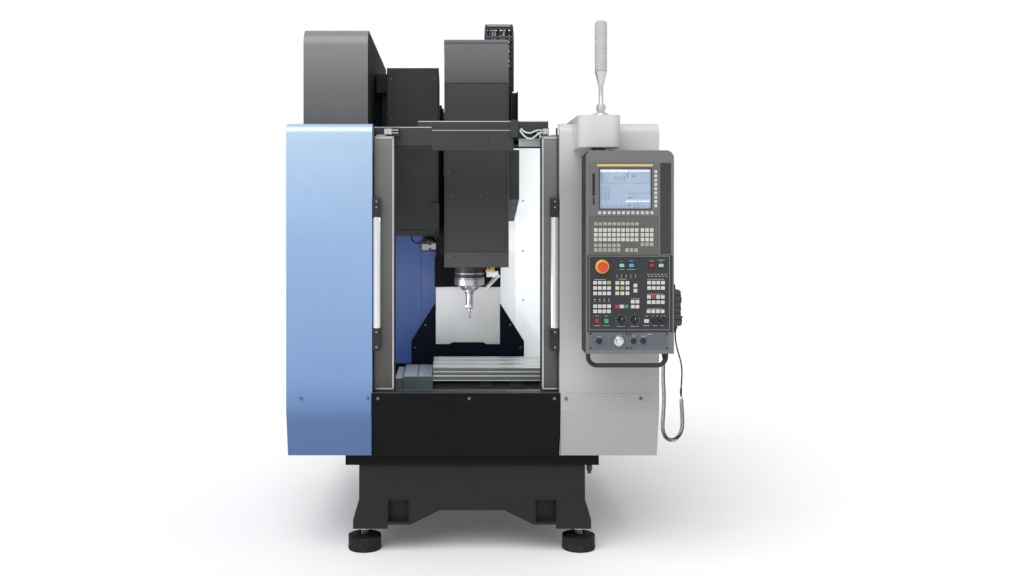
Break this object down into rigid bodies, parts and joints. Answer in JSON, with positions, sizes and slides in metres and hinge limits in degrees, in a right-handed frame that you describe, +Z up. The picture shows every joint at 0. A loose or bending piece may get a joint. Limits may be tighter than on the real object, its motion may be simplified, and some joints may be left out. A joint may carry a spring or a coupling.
{
  "type": "cnc machining center",
  "caption": "Compact vertical machining centre with sliding doors, moving table, spindle head with cable chain, tool magazine and a swivelling operator panel.",
  "frame": {"origin": "on the floor at the centre of the four floor anchors", "axes": "+X to the operator's right, +Y to the rear, +Z up"},
  "size_m": [1.6739, 2.136, 2.5005],
  "materials": {
    "blue_paint": "metallic satin",
    "inner_blue_paint": "semi-gloss",
    "navy_paint": "semi-gloss",
    "charcoal_paint": "fine texture",
    "light_paint": "satin",
    "black_paint": "satin",
    "casting_paint": "satin over a casting",
    "bronze_anodised": "anodised",
    "grey_paint": "satin",
    "machined": "machined",
    "iron": "as cast",
    "stainless": "brushed",
    "bright": "polished",
    "alloy": "anodised",
    "black_plastic": "fine grain",
    "grey_plastic": "fine grain",
    "pale_plastic": "ribbed lens",
    "red_plastic": "gloss",
    "green_plastic": "gloss",
    "window": "clear",
    "screen_glass": "glossy",
    "cord_jacket": "matte"
  },
  "bodies": {
    "machine": {"bed": "casting_paint", "levelling_feet": "black_paint", "column": "casting_paint", "fixed_rails": "machined", "axis_motors": "black_paint", "left_front_panel": "blue_paint", "right_front_panel": "light_paint", "left_lower_panel": "blue_paint", "centre_lower_panel": "black_paint", "right_lower_panel": "light_paint", "side_panels": "light_paint", "left_inner_guard": "inner_blue_paint", "right_inner_guard": "light_paint", "column_apron": "navy_paint", "chip_tray": "grey_paint", "door_header": "charcoal_paint", "chain_back_run": "black_plastic", "magazine_cover": "charcoal_paint", "tool_changer_housing": "charcoal_paint", "electrical_cabinet": "light_paint", "panel_screws": "bright", "panel_arm": "light_paint", "signal_lamp": "pale_plastic"},
    "left_door": {"left_door_frame": "bronze_anodised", "left_door_window": "window", "left_door_handle": "alloy"},
    "right_door": {"right_door_frame": "bronze_anodised", "right_door_window": "window", "right_door_handle": "alloy"},
    "saddle": {"saddle": "iron"},
    "table": {"table": "machined", "table_covers": "stainless"},
    "x_screw": {"x_screw": "machined"},
    "y_screw": {"y_screw": "machined"},
    "z_screw": {"z_screw": "machined"},
    "head": {"head_casting": "casting_paint", "spindle_housing": "black_paint", "spindle_motor": "black_paint", "head_cover": "charcoal_paint", "coolant_nozzle": "machined", "z_shield": "stainless", "chain_front_run": "black_plastic"},
    "chain_loop": {"chain_loop": "black_plastic"},
    "spindle": {"spindle_shaft": "bright", "tool_holder": "bright", "drill": "machined"},
    "magazine_disc": {"magazine_disc": "machined"},
    "tool_change_arm": {"tool_change_arm": "machined"},
    "operator_panel": {"panel_housing": "grey_plastic", "panel_screen": "screen_glass", "panel_keys": "grey_plastic", "panel_handle": "black_plastic", "pulse_unit": "black_plastic", "cord_lead": "cord_jacket", "curly_cord": "cord_jacket"},
    "emergency_stop": {"emergency_stop": "red_plastic"},
    "cycle_start_button": {"cycle_start_button": "green_plastic"},
    "feed_knob": {"feed_knob": "black_plastic"},
    "speed_knob": {"speed_knob": "black_plastic"},
    "pulse_dial": {"pulse_dial": "black_plastic"}
  },
  "joints": [
    {"name": "left_door_slide", "type": "slide", "parent": "machine", "child": "left_door", "axis": [1, 0, 0], "range_m": [0, 0.319]},
    {"name": "right_door_slide", "type": "slide", "parent": "machine", "child": "right_door", "axis": [-1, 0, 0], "range_m": [0, 0.319]},
    {"name": "saddle_slide", "type": "slide", "parent": "machine", "child": "saddle", "axis": [0, 1, 0], "range_m": [-0.2, 0.2]},
    {"name": "table_slide", "type": "slide", "parent": "saddle", "child": "table", "axis": [1, 0, 0], "range_m": [-0.408, 0.112]},
    {"name": "head_slide", "type": "slide", "parent": "machine", "child": "head", "axis": [0, 0, 1], "range_m": [-0.203, 0.277]},
    {"name": "chain_roll", "type": "slide", "parent": "machine", "child": "chain_loop", "axis": [0, 0, 1], "range_m": [-0.102, 0.139]},
    {"name": "x_screw_turn", "type": "hinge", "parent": "saddle", "child": "x_screw", "pos_m": [0, -0.19, 0.676], "axis": [1, 0, 0], "range_deg": [-9300, 2650]},
    {"name": "y_screw_turn", "type": "hinge", "parent": "machine", "child": "y_screw", "pos_m": [0, -0.2, 0.539], "axis": [0, 1, 0], "range_deg": [-4600, 4600]},
    {"name": "z_screw_turn", "type": "hinge", "parent": "machine", "child": "z_screw", "pos_m": [0, 0.296, 1.5], "axis": [0, 0, 1], "range_deg": [-4650, 6350]},
    {"name": "spindle_turn", "type": "hinge", "parent": "head", "child": "spindle", "pos_m": [0, -0.19, 1.2], "axis": [0, 0, 1], "continuous": true},
    {"name": "magazine_turn", "type": "hinge", "parent": "machine", "child": "magazine_disc", "pos_m": [-0.6, -0.19, 2.102], "axis": [1, 0, 0], "continuous": true},
    {"name": "changer_swing", "type": "hinge", "parent": "machine", "child": "tool_change_arm", "pos_m": [-0.2, -0.19, 1.34], "axis": [0, 0, 1], "range_deg": [-10, 10]},
    {"name": "panel_swivel", "type": "hinge", "parent": "machine", "child": "operator_panel", "pos_m": [0.526, -0.93, 1.76], "axis": [0, 0, 1], "range_deg": [-75, 10]},
    {"name": "emergency_stop_press", "type": "slide", "parent": "operator_panel", "child": "emergency_stop", "axis": [0, 1, 0], "range_m": [0, 0.006], "stiffness_N_per_m": 2500},
    {"name": "cycle_start_press", "type": "slide", "parent": "operator_panel", "child": "cycle_start_button", "axis": [0, 1, 0], "range_m": [0, 0.002], "stiffness_N_per_m": 2500},
    {"name": "feed_knob_turn", "type": "hinge", "parent": "operator_panel", "child": "feed_knob", "pos_m": [0.595, -1.1, 1.064], "axis": [0, 1, 0], "range_deg": [-135, 135]},
    {"name": "speed_knob_turn", "type": "hinge", "parent": "operator_panel", "child": "speed_knob", "pos_m": [0.649, -1.1, 1.064], "axis": [0, 1, 0], "range_deg": [-135, 135]},
    {"name": "pulse_dial_turn", "type": "hinge", "parent": "operator_panel", "child": "pulse_dial", "pos_m": [0.845, -1.028, 1.055], "axis": [1, 0, 0], "continuous": true}
  ],
  "couplings": [
    {"joint": "chain_roll", "follows": "head_slide", "ratio": 0.5},
    {"joint": "z_screw_turn", "follows": "head_slide", "rad_per_m": 392.7},
    {"joint": "y_screw_turn", "follows": "saddle_slide", "rad_per_m": 392.7},
    {"joint": "x_screw_turn", "follows": "table_slide", "rad_per_m": 392.7}
  ]
}
